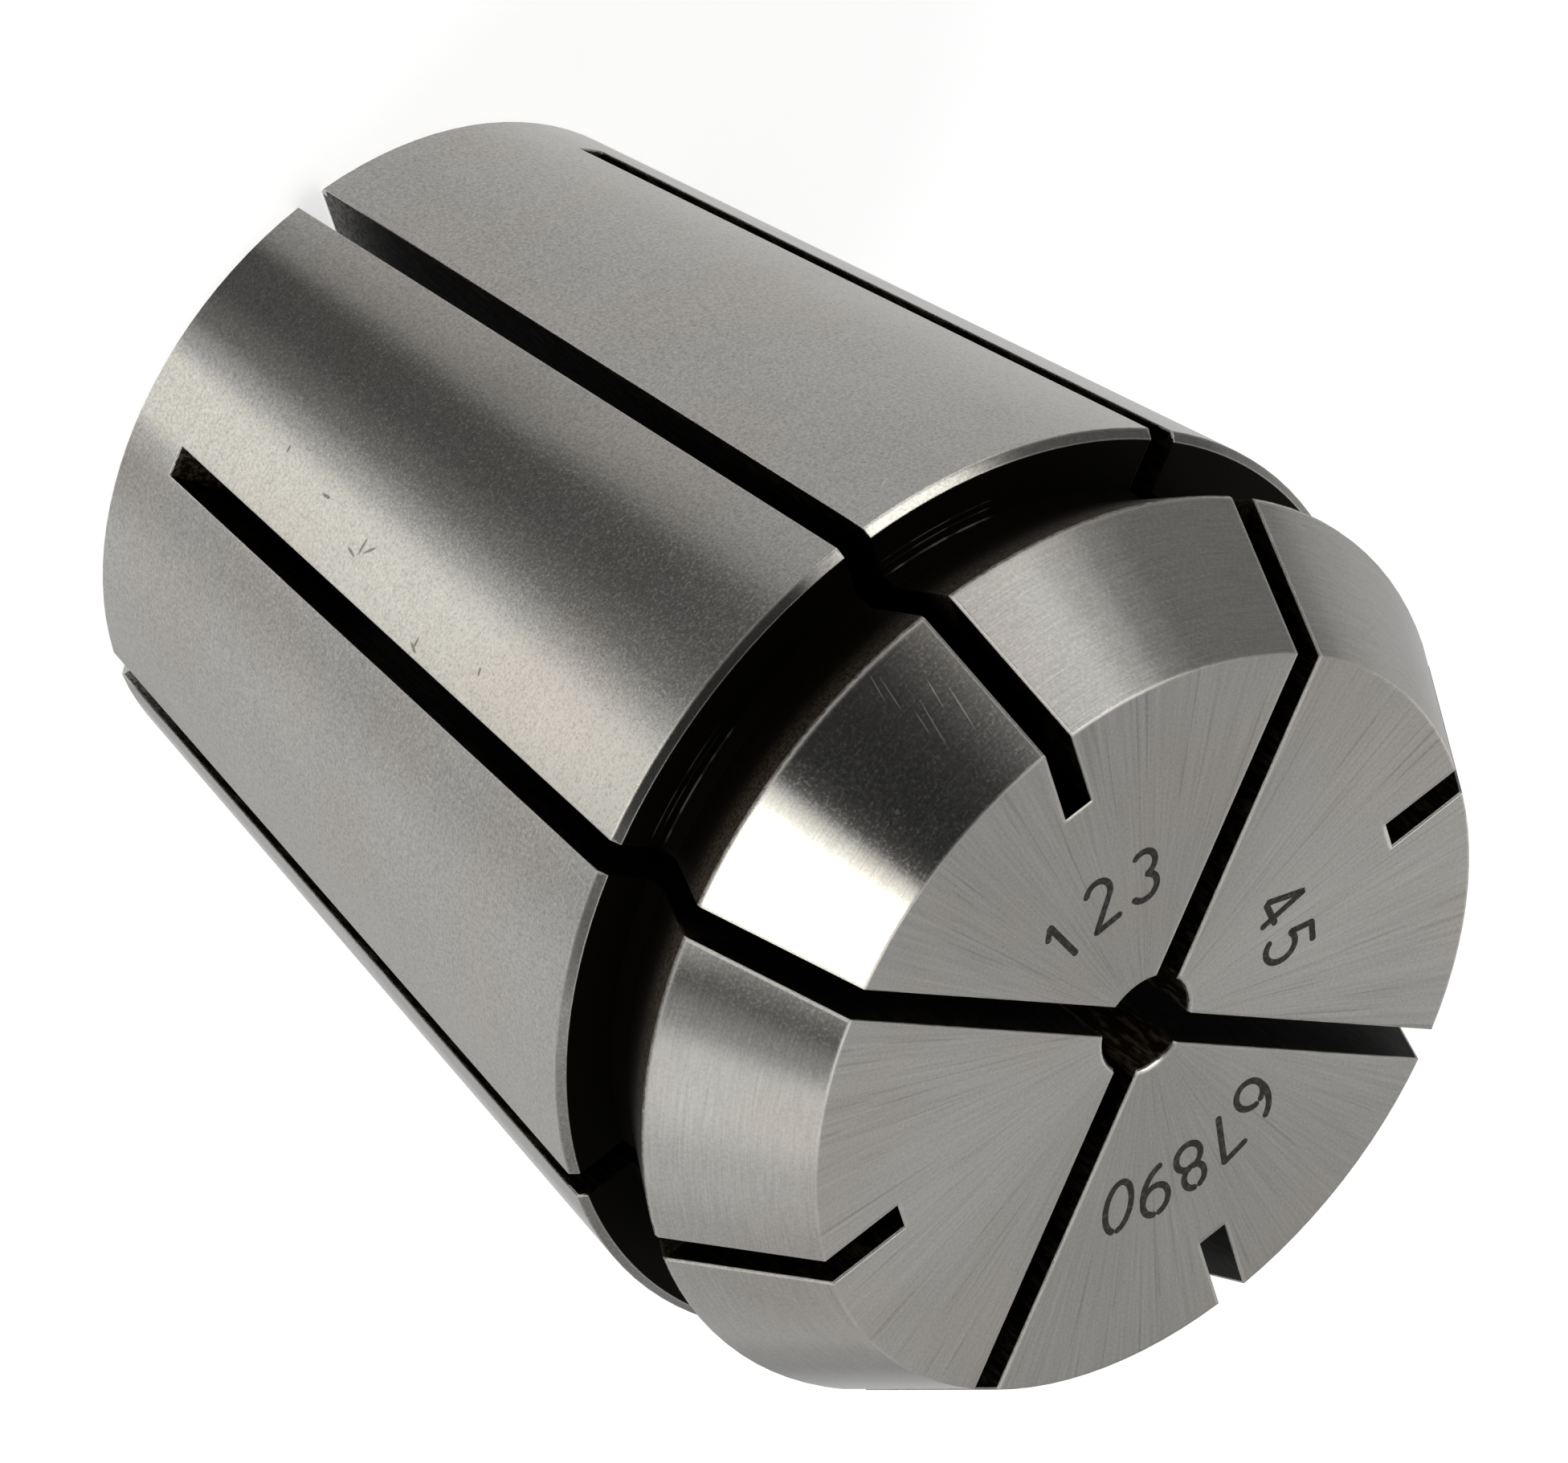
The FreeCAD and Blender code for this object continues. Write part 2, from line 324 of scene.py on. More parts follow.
# Glow by turn round the card. Its parts follow each other across the card, and each change gives the two
# shares of the way between which one part passes into the next. It is a little warmer where it is bright.
def cardMaterial(name, parts, changes):
    material, tree = newMaterial(name)
    along = add(tree, "SeparateXYZ", {0: add(tree, "UVMap", uv_map="along").outputs[0]}).outputs
    strength = strengthByTurn(tree, along["X"], parts[0])
    for stops, change in zip(parts[1:], changes):
        passed = past(tree, along["Y"], change)
        strength = blend(tree, passed, strength, strengthByTurn(tree, along["X"], stops))
    warmth = fade(tree, strength, tent["warmFrom"], tent["warmTo"])
    colour = blendColour(tree, warmth, (1, 1, 1, 1), tent["warmWhite"])
    return glowing(material, tree, add(tree, "Emission", {"Color": colour, "Strength": strength}))


# Card that reflections show and nothing else sees
def onlyForMirrors(card):
    for sight in ("camera", "diffuse", "transmission", "shadow", "volume_scatter"):
        setattr(card, "visible_" + sight, False)


# Floor card. Each point lies where the taper, at the point's azimuth and height, mirrors the camera: the
# mirrored line is twice (camera . normal) times the normal, less the camera's direction, followed down to the
# floor. Azimuths that the camera doesn't see send it straight on.
def makeFloorCard():
    columns, rows = tent["turnPoints"], tent["cardRows"]
    azimuth = np.radians(np.linspace(0, 360, columns))[None, :]
    height = (np.linspace(0, 1, rows) ** 2 * tent["cardReach"])[:, None]
    slope = math.radians(form["taperAngle"])
    normal = np.stack([np.cos(azimuth) * math.cos(slope), np.sin(azimuth) * math.cos(slope),
                       np.full_like(azimuth, -math.sin(slope))], axis=-1)
    view = np.array(towardsCamera)
    facing = np.clip(normal @ view, 0, None)[..., None]
    mirrored = 2 * facing * normal - view
    radius = form["smallRadius"] * mm + height * taperSlope
    x = radius * np.cos(azimuth) - height * mirrored[..., 0] / mirrored[..., 2]
    y = radius * np.sin(azimuth) - height * mirrored[..., 1] / mirrored[..., 2]
    points = np.stack([x, y, np.full_like(x, tent["cardLift"])], axis=-1).reshape(-1, 3)
    turn = np.broadcast_to(azimuth / (2 * math.pi), x.shape).ravel()
    outwards = np.broadcast_to(height / tent["cardReach"], x.shape).ravel()
    card = newObject("floorCard", points, gridFaces(rows, columns), uv=np.stack([turn, outwards], axis=1))
    change = (tent["nearHeight"] / tent["cardReach"], tent["farHeight"] / tent["cardReach"])
    card.data.materials.append(cardMaterial("floor card", [tent["floorNear"], tent["floorFar"]], [change]))
    onlyForMirrors(card)


# Wall of the tent: a straight cylinder round the collet, its radius constant and its height from 0 to 1 times
# the wall's height
def makeWallCard():
    columns, rows = tent["turnPoints"], 2
    azimuth = np.radians(np.linspace(0, 360, columns))[None, :]
    share = np.linspace(0, 1, rows)[:, None]
    x = tent["wallRadius"] * np.cos(azimuth) + 0 * share
    y = tent["wallRadius"] * np.sin(azimuth) + 0 * share
    z = tent["cardLift"] + share * tent["wallHeight"] + 0 * azimuth
    turn = np.broadcast_to(azimuth / (2 * math.pi), x.shape).ravel()
    upwards = np.broadcast_to(share, x.shape).ravel()
    card = newObject("wallCard", np.stack([x, y, z], axis=-1).reshape(-1, 3), gridFaces(rows, columns),
                     uv=np.stack([turn, upwards], axis=1))
    changes = [[height / tent["wallHeight"] for height in tent[name]] for name in ("lowChange", "highChange")]
    parts = [tent["wallLow"], tent["wallMiddle"], tent["wallHigh"]]
    card.data.materials.append(cardMaterial("wall card", parts, changes))
    onlyForMirrors(card)


# Ceiling of the tent: a shallow dome that closes the wall, its rise falling with the square of the radius
def makeCeilingCard():
    rows, columns = tent["domeGrid"]
    azimuth = np.radians(np.linspace(0, 360, columns, endpoint=False))[None, :]
    share = np.linspace(tent["domeHole"], 1, rows)[:, None]
    radius = tent["wallRadius"] * share
    height = tent["wallHeight"] + tent["domeRise"] * (1 - share ** 2)
    points = np.stack([radius * np.cos(azimuth), radius * np.sin(azimuth), height + 0 * azimuth], axis=-1)
    card = newObject("ceilingCard", points.reshape(-1, 3), gridFaces(rows, columns, closed=True))
    material, tree = newMaterial("ceiling card")
    glow = add(tree, "Emission", {"Strength": tent["ceilingGrey"]})
    card.data.materials.append(glowing(material, tree, glow))
    onlyForMirrors(card)


# One where the ray comes from the camera, a mirror or glass, and nothing where it only gathers light
def seenDirectly(tree):
    path = add(tree, "LightPath").outputs
    seen = calc(tree, "MAXIMUM", path["Is Camera Ray"], path["Is Glossy Ray"])
    return calc(tree, "MAXIMUM", seen, path["Is Transmission Ray"])


# Plain pale floor, one square; it glows up to white for the camera and keeps the collet's shadow
def makeFloor():
    half = studio["floorSize"] / 2
    points = np.array([(-half, -half), (half, -half), (half, half), (-half, half)])
    points = np.column_stack([points, np.full(4, -studio["floorDrop"])])
    floor = newObject("floor", points, np.array([[0, 1, 2, 3]]), smooth=False)
    material, tree = newMaterial("pale floor")
    paint = add(tree, "BsdfDiffuse", {"Color": studio["floorColour"]})
    glow = add(tree, "Emission", {"Strength": product(tree, seenDirectly(tree), studio["floorGlow"])})
    both = add(tree, "AddShader", {0: paint.outputs[0], 1: glow.outputs[0]})
    floor.data.materials.append(glowing(material, tree, both))


# Even studio air: white where it is seen, a little less as light
def makeWorld():
    world = bpy.data.worlds.new("studio")
    world.use_nodes = True
    tree = world.node_tree
    tree.nodes.clear()
    strength = blend(tree, seenDirectly(tree), studio["airLight"], studio["airSeen"])
    air = add(tree, "Background", {"Color": (1, 1, 1, 1), "Strength": strength})
    add(tree, "OutputWorld", {"Surface": air.outputs[0]})
    bpy.context.scene.world = world


# One large soft lamp above, for the floor and for the numbers
def makeKeyLamp():
    lamp = bpy.data.lights.new("key", "AREA")
    lamp.shape = "DISK"
    lamp.size = studio["keySize"]
    lamp.energy = studio["keyPower"]
    key = bpy.data.objects.new("key", lamp)
    direction = directionOf(*studio["keyDirection"])
    key.location = direction * studio["keyDistance"]
    key.rotation_euler = direction.to_track_quat("Z", "Y").to_euler()
    bpy.context.collection.objects.link(key)


makeFloorCard()
makeWallCard()
makeCeilingCard()
makeFloor()
makeWorld()
makeKeyLamp()
bpy.context.scene.view_settings.view_transform = "Standard"
print("studio built")


# Collet steel: fine ground outside, dark from hardening inside the groove, the slots and the bores

# The ground skin. A pair is for the taper and for the nose, heights are in microns, and a row of five numbers
# is a pattern's.
steel = {
    "ground": (0.475, 0.466, 0.440, 1),
    "stained": (0.480, 0.458, 0.426, 1),
    "stains": (0.16, 1.0, 0.5, 0.48, 0.62),
    "clouds": (0.05, 0.25, 1.0),        # slow change of shade: its amount, cells to the millimetre and detail
    "wornEdgeAndHighlight": (0.80, 0.78, 0.73, 1),      # edges that are rubbed bright: partly real wear, partly painted highlight
    "leastWear": (0.25, 0.75),          # what is rubbed between the patches along the edges
    "wearPatches": (0.7, 0.0, 0.5, 0.42, 0.60),
    "burrs": (2.3, 0.0, 0.5, 0.64, 0.70),
    "rimShade": 0.55,
    "taperRough": 0.21,
    "coneRough": 0.12,
    "faceRough": 0.28,
    "rimRough": 0.12,
    "wornRough": 0.30,
    "anisotropic": 0.55,
    "anisotropicTurn": 0.25,
    "edgeRound": 0.06 * mm,
    "noseRound": 0.17 * mm,
    "rimRound": 0.14 * mm,
    "roundSamples": 3,
    "grain": (9.0, 1.6, 0.75),          # cells to the millimetre, detail and roughness of the noise
    "grainShade": (1.1, 0.5),
    "grainRough": (0.50, 0.36),
    "grainHeight": (3.0, 0.5),
    "speckCells": 0.8,
    "speckRough": (0.14, 0.10),
    "strokeCells": (0.6, 0.6, 22.0),    # grinding strokes: long round the axis, thin along it
    "strokeShade": (0.20, 0.36),
    "strokeHeight": (0.4, 1.3),
    "streakFineness": 90.0,             # noise cells to the radian across the streaks of the face
    "streakLength": 0.25,
    "streakShade": 0.34,
    "streakHeight": 0.7,
    "hairFineness": 70.0,               # dark hairlines between the streaks
    "hairLength": 0.20,
    "hairs": (1.0, 0.0, 0.5, 0.31, 0.25),
    "hairShade": 0.15,
}

# The dark inside
inner = {
    "brown": (0.026, 0.020, 0.015),
    "rough": 0.62,
    "fray": (0.025, 6.0, 0.0),          # noise on its border: the amount, cells to the millimetre and detail
    "dirtCells": (5.0, 5.0, 1.1),       # streaks of dirt, longer along the axis
    "dirt": (1.0, 2.0, 0.65, 0.46, 0.66),
    "dirtShade": (0.35, 2.6),
    "noseDarkening": 0.28,                   # share to which the slots near the nose are darkened
    "endLight": (0.20, 0.195, 0.185),       # painted light on the rear slots' walls near the small end, where light comes in at their open ends
    "grit": (7.0, 1.0, 0.5, 0.38, 0.62),
    "gritShade": (0.45, 1.25),
    "black": (0.005, 0.004, 0.003, 1),  # the groove
    "lip": (0.040, 0.031, 0.022),       # its slanted wall near the nose edge, brown scale; its fade to black deeper in is painted shade
    "lipGrain": (0.35, 0.65),
    "lipShade": (0.25, 1.9),
    "line": (0.13, 0.12, 0.105, 1),     # turned lines on its rear wall, painted as glints where they catch light
    "lineRadii": (14.50, 14.86, 15.14),
    "glintAt": (214.0, 258.5),           # the azimuths round which the painted glints show
    "glintSpread": (9.0, 6.0),           # degrees from there at which they begin and are full
    "lineBreaks": (1.1, 0.0, 0.5, 0.40, 0.52),
    "lineLeast": 0.2,
}

# Where one finish passes into the next, from none of it to all of it. They are millimetres of height, radius
# or depth, and where a note says so they are counted from a plane or an edge.
borders = {
    "rimRadius": (16.31, 16.34),
    "rimLow": (-0.02, 0.01),            # from the rim's lower edge
    "rimHigh": (0.04, 0.02),            # from the groove's rear wall
    "besideRimLow": (-0.9, -0.8),       # the same
    "besideRimHigh": (-0.10, -0.15),    # the same
    "endChamferHeight": (0.32, 0.30),
    "endChamferRadius": (11.95, 12.0),
    "inside": (0.045, 0.085),           # depth under the ground skin
    "rubbedAndHighlit": (0.12, 0.08),             # the same; edges this close under it get wear and painted highlight
    "face": (-0.03, -0.01),             # from the face
    "nose": (-1.0, -0.8),               # from the nose edge
    "grooveLow": (-0.02, -0.01),        # from the groove's rear wall
    "grooveHigh": (0.02, 0.01),         # from the nose edge
    "grooveFloor": (-0.4, -0.1),        # from the groove's radius
    "rearWall": (0.08, 0.04),           # from the groove's rear wall
    "lip": (-1.9, -0.1),                # from the nose edge; the lip's painted shade fades over it
    "line": (0.035, 0.015),             # from the middle of a turned line
    # heights over which the slots pass from darker near the nose to their full colour
    "noseDarkeningHeight": (31.0, 26.0),
    "bore": (2.05, 1.9),
    "endLightHeight": (4.6, 0.8),
    "rearSlots": (0.30, 0.35),          # x times y, over the square of the radius
    "corner": (0.010, 0.045),           # one less the cosine of the turn at a corner
    "speck": (0.054, 0.09),             # distance from a speck's middle
    "mark": (1.0, 0.5),                 # distance from a mark's middle, as a share of its half sizes
}

# Single marks: azimuth and height of the middle, length, and turn from the slope towards growing azimuth
blemishes = {
    "scratchWidth": 0.055,
    "scratchWear": 0.6,
    "coneScratches": [
        (236.4, 35.5, 1.4, 16), (235.8, 35.85, 1.6, 13), (232.1, 36.7, 1.4, 14), (231.0, 37.5, 2.1, 12),
        (234.8, 37.25, 2.3, 15), (235.7, 37.05, 1.2, 13)],
    "nickWidth": 0.15,
    "nickShade": 0.6,
    "taperNicks": [
        (259.0, 10.6, 0.6, -6), (261.0, 13.4, 0.8, 90), (260.8, 13.8, 0.8, -45), (262.6, 13.0, 0.7, 12),
        (266.0, 17.9, 0.5, 90), (266.8, 17.9, 0.6, 25), (263.4, 21.3, 0.4, 70), (257.3, 7.8, 0.35, 80)],
    "taperScratches": [(216.5, 29.2, 0.8, 60), (207.0, 25.6, 0.5, -50)],
    "halfDepth": 0.3,
}


# Where a point of the steel lies, in millimetres: its place, its distance from the axis, the unit vector of
# its azimuth, and its depth, which is the least of its depths under the taper, the cone, the face and the
# small end
def placeOnCollet(tree):
    place = placeInMillimetres(tree)
    split = add(tree, "SeparateXYZ", {0: place}).outputs
    x, y, z = split["X"], split["Y"], split["Z"]
    radius = calc(tree, "SQRT", calc(tree, "MULTIPLY_ADD", x, x, product(tree, y, y)))
    outwards = add(tree, "CombineXYZ", {"X": x, "Y": y}).outputs[0]
    outwards = add(tree, "VectorMath", {0: outwards}, operation="NORMALIZE").outputs[0]
    taperEdge = calc(tree, "MULTIPLY_ADD", z, taperSlope, form["smallRadius"])
    coneEdge = calc(tree, "MULTIPLY_ADD", z, -noseSlope, coneBase)
    underSides = calc(tree, "SUBTRACT", calc(tree, "MINIMUM", taperEdge, coneEdge), radius)
    underEnds = calc(tree, "MINIMUM", calc(tree, "SUBTRACT", form["faceZ"], z), z)
    depth = calc(tree, "MINIMUM", underSides, underEnds)
    return {"place": place, "x": x, "y": y, "z": z, "radius": radius, "outwards": outwards, "depth": depth}


# The chamfered rim of the taper
def rimMask(tree, at):
    return product(tree, past(tree, at["radius"], borders["rimRadius"]),
                   past(tree, at["z"], borders["rimLow"], form["grooveZ"] - form["rimWidth"]),
                   past(tree, at["z"], borders["rimHigh"], form["grooveZ"]))


# One inside the groove, slots and bores, and nothing on the ground skin, the rim and the small end's chamfer;
# a fine noise frays the border
def insideMask(tree, at, rim):
    frayed = calc(tree, "ADD", at["depth"], ripple(tree, at["place"], *inner["fray"]))
    endChamfer = product(tree, past(tree, at["z"], borders["endChamferHeight"]),
                         past(tree, at["radius"], borders["endChamferRadius"]))
    return calc(tree, "SUBTRACT", past(tree, frayed, borders["inside"]),
                calc(tree, "MAXIMUM", rim, endChamfer), clamp=True)


# Direction of the surface with its corners rounded off, more on the nose and beside the rim
def roundedNormal(tree, at, onNose):
    besideRim = product(tree, past(tree, at["z"], borders["besideRimLow"], form["grooveZ"]),
                        past(tree, at["z"], borders["besideRimHigh"], form["grooveZ"]))
    radius = blend(tree, onNose, steel["edgeRound"], steel["noseRound"])
    radius = blend(tree, besideRim, radius, steel["rimRound"])
    return add(tree, "Bevel", {"Radius": radius}, samples=steel["roundSamples"]).outputs[0]


# Edges rubbed bright, in patches and with a few burrs, partly real wear and partly painted highlight: where
# rounding the corners turns the surface's direction, close under the ground skin, and all along the rim,
# whose edges are painted as bright highlight lines
def edgeWearAndHighlight(tree, at, rim, onNose, rounded):
    flat = add(tree, "NewGeometry").outputs["Normal"]
    along = add(tree, "VectorMath", {0: flat, 1: rounded}, operation="DOT_PRODUCT").outputs["Value"]
    corner = past(tree, calc(tree, "SUBTRACT", 1.0, along), borders["corner"])
    patches = pattern(tree, at["place"], steel["wearPatches"], blend(tree, onNose, *steel["leastWear"]))
    burrs = pattern(tree, at["place"], steel["burrs"])
    rubbedAndHighlit = product(tree, past(tree, at["depth"], borders["rubbedAndHighlit"]), calc(tree, "MAXIMUM", patches, burrs))
    return product(tree, corner, calc(tree, "MAXIMUM", rubbedAndHighlit, rim))


# Vector whose noise makes radial streaks: the azimuth's unit vector times the fineness, and a slow radius
def streakVector(tree, at, fineness, length):
    slow = add(tree, "CombineXYZ", {"Z": product(tree, at["radius"], length)}).outputs[0]
    return add(tree, "VectorMath", {0: at["outwards"], 1: (fineness, fineness, 0.0), 2: slow},
               operation="MULTIPLY_ADD").outputs[0]


# Small scattered specks: the nearness of the points that Voronoi cells hold
def specks(tree, at):
    distance = add(tree, "TexVoronoi", {"Vector": at["place"], "Scale": steel["speckCells"]})
    return fade(tree, distance.outputs["Distance"], *borders["speck"], 1.0, 0.0)


# Marks on the taper or, with a falling slope, on the cone. Each is a slim ellipsoid round the mark's middle,
# laid along the surface's slope turned by the mark's turn; the mask is one inside and fades to nothing at its
# skin.
def marksAlong(tree, at, rows, width, slope, radiusAtZero):
    mask = 0.0
    tilt = math.radians(slope)
    for azimuth, height, length, turn in rows:
        outwards, twist = directionOf(azimuth, 0), math.radians(turn)
        around = directionOf(azimuth + 90, 0)
        upwards = outwards * math.sin(tilt) + Vector((0, 0, math.cos(tilt)))
        along = upwards * math.cos(twist) + around * math.sin(twist)
        normal = outwards * math.cos(tilt) - Vector((0, 0, math.sin(tilt)))
        turned = Matrix((along, normal.cross(along), normal)).transposed().to_euler()
        middle = outwards * (radiusAtZero + height * math.tan(tilt)) + Vector((0, 0, height))
        halfSizes = (length / 2, width / 2, blemishes["halfDepth"])
        local = add(tree, "Mapping", {"Vector": at["place"], "Location": middle, "Rotation": turned,
                                      "Scale": halfSizes}, vector_type="TEXTURE")
        distance = add(tree, "VectorMath", {0: local.outputs[0]}, operation="LENGTH").outputs["Value"]
        mask = calc(tree, "MAXIMUM", mask, past(tree, distance, borders["mark"]))
    return mask


# Brightness of the ground skin, one on average: grain, grinding strokes or streaks, clouds and hairlines
def groundShade(tree, at, onNose, onFace, grain, strokes, streaks):
    grainShade = blend(tree, onNose, *steel["grainShade"])
    shade = calc(tree, "MULTIPLY_ADD", fromMiddle(tree, grain), grainShade, 1.0)
    shade = calc(tree, "ADD", shade, ripple(tree, at["place"], *steel["clouds"]))
    strokes = product(tree, fromMiddle(tree, strokes), blend(tree, onNose, *steel["strokeShade"]))
    streaks = product(tree, fromMiddle(tree, streaks), steel["streakShade"])
    shade = calc(tree, "ADD", shade, blend(tree, onFace, strokes, streaks))
    hairs = pattern(tree, streakVector(tree, at, steel["hairFineness"], steel["hairLength"]), steel["hairs"])
    return calc(tree, "SUBTRACT", shade, product(tree, hairs, onFace, steel["hairShade"]))


# Painted glints: fine turned lines at the groove's root and on its rear wall, broken, painted bright round a
# few azimuths where they catch light
def grooveGlints(tree, at):
    lines = 0.0
    for radius in inner["lineRadii"]:
        off = calc(tree, "ABSOLUTE", calc(tree, "SUBTRACT", at["radius"], radius))
        lines = calc(tree, "MAXIMUM", lines, past(tree, off, borders["line"]))
    lit = 0.0
    spread = [math.cos(math.radians(degrees)) for degrees in inner["glintSpread"]]
    for azimuth in inner["glintAt"]:
        facing = add(tree, "VectorMath", {0: at["outwards"], 1: directionOf(azimuth, 0)},
                     operation="DOT_PRODUCT").outputs["Value"]
        lit = calc(tree, "MAXIMUM", lit, past(tree, facing, spread))
    broken = pattern(tree, at["place"], inner["lineBreaks"], inner["lineLeast"])
    return product(tree, lines, lit, broken, past(tree, at["z"], borders["rearWall"], form["grooveZ"]))


# Slots and bores: brown with streaks of dirt, darker in the slots near the nose. The rear slots lie on the
# diagonals, and near the small end their walls are painted light and granular, where light comes in at their
# open ends. The square is kept off zero on the axis.
def slotColour(tree, at):
    dirt = pattern(tree, stretched(tree, at["place"], inner["dirtCells"]), inner["dirt"], *inner["dirtShade"])
    deep = calc(tree, "MAXIMUM", past(tree, at["z"], borders["noseDarkeningHeight"]),
                past(tree, at["radius"], borders["bore"]))
    # Darker in the slots near the nose
    colour = shaded(tree, inner["brown"], product(tree, dirt, blend(tree, deep, inner["noseDarkening"], 1.0)))
    grit = pattern(tree, at["place"], inner["grit"], *inner["gritShade"])
    diagonal = calc(tree, "ABSOLUTE", product(tree, at["x"], at["y"]))
    square = calc(tree, "MAXIMUM", product(tree, at["radius"], at["radius"]), 1.0)
    diagonal = calc(tree, "DIVIDE", diagonal, square)
    # Painted light on the rear slots' walls near the small end, where light comes in at their open ends
    endLight = product(tree, past(tree, at["z"], borders["endLightHeight"]), past(tree, diagonal, borders["rearSlots"]))
    return blendColour(tree, endLight, colour, shaded(tree, inner["endLight"], grit))


# Colour of the dark inside: the slots' and the bores', and in the groove black, with a brown grainy lip whose
# fade to black deeper in is painted shade, and a few fine lines painted as glints
def darkColour(tree, at, grain):
    inGroove = product(tree, past(tree, at["z"], borders["grooveLow"], form["grooveZ"]),
                       past(tree, at["z"], borders["grooveHigh"], form["noseZ"]),
                       past(tree, at["radius"], borders["grooveFloor"], form["grooveRadius"]))
    # Painted shade: the lip passes from black deep in the groove to brown near the nose edge
    lip = past(tree, at["z"], borders["lip"], form["noseZ"])
    lipShade = fade(tree, grain, *inner["lipGrain"], *inner["lipShade"])
    grooveColour = blendColour(tree, lip, inner["black"], shaded(tree, inner["lip"], lipShade))
    # Painted glints on the groove's turned lines
    grooveColour = blendColour(tree, grooveGlints(tree, at), grooveColour, inner["line"])
    return blendColour(tree, inGroove, slotColour(tree, at), grooveColour)


# One material for the whole sleeve; masks by place choose the finish
def colletSteel():
    material, tree = newMaterial("collet steel")
    at = placeOnCollet(tree)
    rim = rimMask(tree, at)
    inside = insideMask(tree, at, rim)
    onFace = past(tree, at["z"], borders["face"], form["faceZ"])
    onNose = past(tree, at["z"], borders["nose"], form["noseZ"])
    rounded = roundedNormal(tree, at, onNose)
    grain = noise(tree, at["place"], *steel["grain"])
    strokes = noise(tree, stretched(tree, at["place"], steel["strokeCells"]))
    streaks = noise(tree, streakVector(tree, at, steel["streakFineness"], steel["streakLength"]))

    taper = (form["taperAngle"], form["smallRadius"])
    cone = (-form["noseAngle"], coneBase)
    nicks = marksAlong(tree, at, blemishes["taperNicks"], blemishes["nickWidth"], *taper)
    scratches = calc(tree, "MAXIMUM",
                     marksAlong(tree, at, blemishes["coneScratches"], blemishes["scratchWidth"], *cone),
                     marksAlong(tree, at, blemishes["taperScratches"], blemishes["scratchWidth"], *taper))
    rubbedAndHighlit = calc(tree, "MAXIMUM", edgeWearAndHighlight(tree, at, rim, onNose, rounded),
                  product(tree, scratches, blemishes["scratchWear"]))

    stained = pattern(tree, at["place"], steel["stains"])
    colour = blendColour(tree, stained, steel["ground"], steel["stained"])
    shade = groundShade(tree, at, onNose, onFace, grain, strokes, streaks)
    colour = shaded(tree, colour, product(tree, shade, blend(tree, rim, 1.0, steel["rimShade"])))
    colour = shaded(tree, colour, calc(tree, "MULTIPLY_ADD", nicks, -blemishes["nickShade"], 1.0))
    colour = blendColour(tree, inside, colour, darkColour(tree, at, grain))
    # Edges and scratches rubbed bright: real wear, and along the edges painted highlight too
    colour = blendColour(tree, rubbedAndHighlit, colour, steel["wornEdgeAndHighlight"])

    rough = blend(tree, onNose, steel["taperRough"], steel["coneRough"])
    rough = blend(tree, onFace, rough, steel["faceRough"])
    matt = product(tree, fromMiddle(tree, grain), blend(tree, onNose, *steel["grainRough"]))
    speckled = product(tree, specks(tree, at), blend(tree, onNose, *steel["speckRough"]))
    rough = calc(tree, "ADD", rough, calc(tree, "MAXIMUM", calc(tree, "MAXIMUM", matt, speckled), 0.0))
    rough = blend(tree, rim, rough, steel["rimRough"])
    rough = blend(tree, inside, rough, inner["rough"])
    rough = blend(tree, rubbedAndHighlit, rough, steel["wornRough"])

    strokeRelief = product(tree, strokes, blend(tree, onNose, *steel["strokeHeight"]))
    lay = blend(tree, onFace, strokeRelief, product(tree, streaks, steel["streakHeight"]))
    grainRelief = product(tree, grain, blend(tree, onNose, *steel["grainHeight"]))
    height = product(tree, calc(tree, "ADD", grainRelief, lay), calc(tree, "SUBTRACT", 1.0, rim))
    bumped = add(tree, "Bump", {"Height": height, "Distance": micron, "Normal": rounded}).outputs[0]

    axis = (0.0, 0.0, 1.0)
    around = add(tree, "VectorMath", {0: axis, 1: at["outwards"]}, operation="CROSS_PRODUCT").outputs[0]
    shader = add(tree, "BsdfPrincipled", {
        "Base Color": colour, "Roughness": rough, "Metallic": 1.0, "Anisotropic": steel["anisotropic"],
        "Anisotropic Rotation": steel["anisotropicTurn"], "Tangent": around, "Normal": bumped})
    add(tree, "OutputMaterial", {"Surface": shader.outputs[0]})
    return material


groundSteel = colletSteel()
for materialSlot in colletNode.material_slots:
    materialSlot.material = groundSteel
print("collet dressed")


# Etched numbers on the face: generic digits, tops outwards, read clockwise round the axis

etching = {
    "height": 2.1,            # millimetres
    "stroke": 0.25,
    "step": 0.03,
    "leastPoints": 8,         # along a stroke
    "arcPoints": 40,
    "proud": 0.003,
    "climb": 0.002,           # a stroke rises by this to its end
    "strokeClimbs": 1.5,      # climbs by which a stroke starts above the one before
    "sunk": 0.02,
    "blunt": 0.995,           # share of a stroke's end that narrows
    "boxWidth": 0.6,          # a digit's box is one high and this wide
    "groups": [
        {"name": "numbersLeft", "text": "123", "radius": 6.1, "first": 243.7, "pitch": 16.6},
        {"name": "numbersTop", "text": "45", "radius": 5.9, "first": 141.0, "pitch": 17.2},
        {"name": "numbersRight", "text": "67890", "radius": 7.0, "first": 70.0, "pitch": 12.5}],
    "dark": (0.020, 0.017, 0.015, 1),
    "pale": (0.062, 0.055, 0.050, 1),
    "spots": (5.0, 2.0, 0.5, 0.46, 0.66),
    "pits": (14.0, 2.0),      # cells to the millimetre and detail
    "pitDepth": 4 * micron,
    "metallic": 0.4,
    "rough": 0.55,
}


# Points of an ellipse's arc: the centre plus each radius times the cosine or sine of an angle that runs
# evenly
def arc(across, up, wide, high, start, end):
    turn = np.radians(np.linspace(start, end, etching["arcPoints"]))
    return np.column_stack([across + wide * np.cos(turn), up + high * np.sin(turn)])


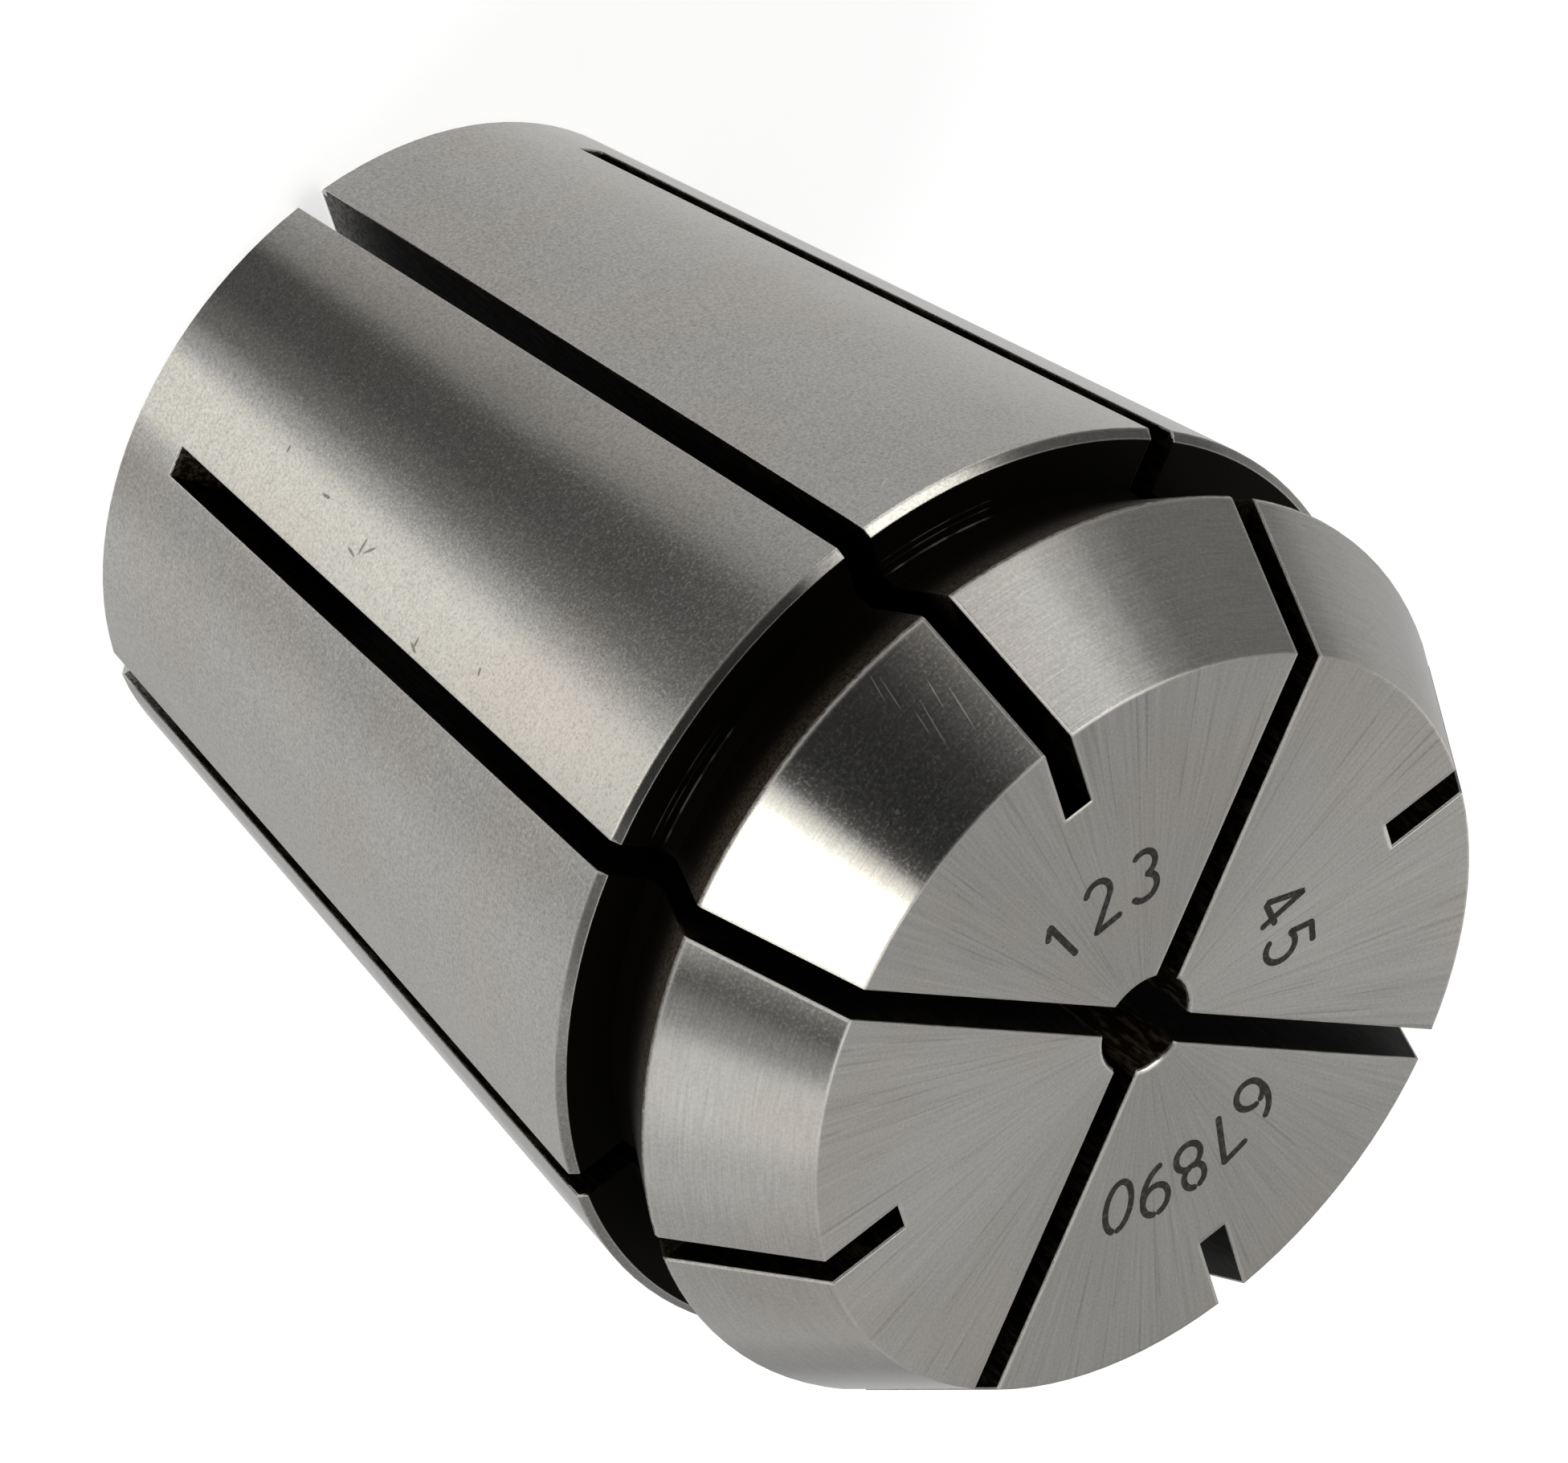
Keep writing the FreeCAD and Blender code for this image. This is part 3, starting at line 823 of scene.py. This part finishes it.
# Each digit's strokes in its box
digits = {
    "0": [arc(0.30, 0.50, 0.25, 0.46, 90, 450)],
    "1": [np.array([(0.12, 0.75), (0.32, 0.96), (0.32, 0.04)])],
    "2": [np.vstack([arc(0.30, 0.72, 0.23, 0.24, 165, -35), [(0.05, 0.04), (0.57, 0.04)]])],
    "3": [arc(0.29, 0.73, 0.22, 0.23, 150, -85), arc(0.29, 0.28, 0.25, 0.24, 85, -150)],
    "4": [np.array([(0.42, 0.04), (0.42, 0.96), (0.04, 0.30)]), np.array([(0.04, 0.30), (0.58, 0.30)])],
    "5": [np.vstack([[(0.53, 0.96), (0.14, 0.96), (0.10, 0.55)],
                     arc(0.29, 0.33, 0.26, 0.29, 130, -145)])],
    "6": [arc(0.30, 0.31, 0.25, 0.28, 90, 450), arc(0.55, 0.35, 0.50, 0.61, 100, 180)],
    "7": [np.array([(0.05, 0.96), (0.56, 0.96), (0.22, 0.04)])],
    "8": [arc(0.30, 0.73, 0.20, 0.23, 90, 450), arc(0.30, 0.28, 0.24, 0.25, 90, 450)],
    "9": [arc(0.30, 0.69, 0.25, 0.28, 90, 450), arc(0.05, 0.65, 0.50, 0.61, 0, -80)],
}


# Stroke as a flat closed bar along a line on the face. The line is laid out in even steps; each side lies
# half a width off it along its normal, and over the ends the half width follows a half circle. Its top rises
# evenly from a height over the face by the climb.
def strokeBar(line, proud):
    length = np.concatenate([[0], np.cumsum(np.hypot(*np.diff(line, axis=0).T))])
    count = max(etching["leastPoints"], int(length[-1] / etching["step"]))
    even = np.linspace(0, length[-1], count)
    line = np.column_stack([np.interp(even, length, line[:, 0]), np.interp(even, length, line[:, 1])])
    line[1:-1] = (line[:-2] + line[1:-1] + line[2:]) / 3
    heading = np.gradient(line, axis=0)
    heading /= np.linalg.norm(heading, axis=1, keepdims=True)
    normal = np.column_stack([-heading[:, 1], heading[:, 0]])
    half = etching["stroke"] / 2
    fromEnd = np.clip(1 - np.minimum(even, even[::-1]) / half, 0, etching["blunt"])
    reach = (half * np.sqrt(1 - fromEnd ** 2))[:, None]
    low = np.full((count, 1), form["faceZ"] - etching["sunk"])
    high = form["faceZ"] + proud + etching["climb"] * np.linspace(0, 1, count)[:, None]
    right, left = line - normal * reach, line + normal * reach
    rings = np.stack([np.hstack([right, low]), np.hstack([left, low]),
                      np.hstack([left, high]), np.hstack([right, high])], axis=1)
    last = 4 * (count - 1)
    ends = np.array([[3, 2, 1, 0], [last, last + 1, last + 2, last + 3]])
    return rings.reshape(-1, 3), np.vstack([gridFaces(count, 4, closed=True), ends])


# One group of digits as one mesh. A digit's own up is outwards from the axis and its right is clockwise.
def etchedGroup(group, material):
    points, faces, first = [], [], 0
    for index, digit in enumerate(group["text"]):
        azimuth = math.radians(group["first"] - index * group["pitch"])
        outwards = np.array([math.cos(azimuth), math.sin(azimuth)])
        clockwise = np.array([math.sin(azimuth), -math.cos(azimuth)])
        for layer, stroke in enumerate(digits[digit]):
            across = (stroke[:, :1] - etching["boxWidth"] / 2) * etching["height"]
            up = (stroke[:, 1:] - 1 / 2) * etching["height"]
            line = outwards * (group["radius"] + up) + clockwise * across
            proud = etching["proud"] + etching["strokeClimbs"] * layer * etching["climb"]
            barPoints, barFaces = strokeBar(line, proud)
            points.append(barPoints)
            faces.append(barFaces + first)
            first += len(barPoints)
    piece = newObject(group["name"], np.vstack(points) * mm, np.vstack(faces), smooth=False)
    piece.data.materials.append(material)
    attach(piece, "root")


# Etched line: dark and matt, paler in spots where it bit less
def etchedMaterial():
    material, tree = newMaterial("etched line")
    place = placeInMillimetres(tree)
    colour = blendColour(tree, pattern(tree, place, etching["spots"]), etching["dark"], etching["pale"])
    pits = noise(tree, place, *etching["pits"])
    bumped = add(tree, "Bump", {"Height": pits, "Distance": etching["pitDepth"]})
    shader = add(tree, "BsdfPrincipled", {"Base Color": colour, "Metallic": etching["metallic"],
                                          "Roughness": etching["rough"], "Normal": bumped.outputs[0]})
    add(tree, "OutputMaterial", {"Surface": shader.outputs[0]})
    return material


etchedLine = etchedMaterial()
for numberGroup in etching["groups"]:
    etchedGroup(numberGroup, etchedLine)
print("numbers etched")
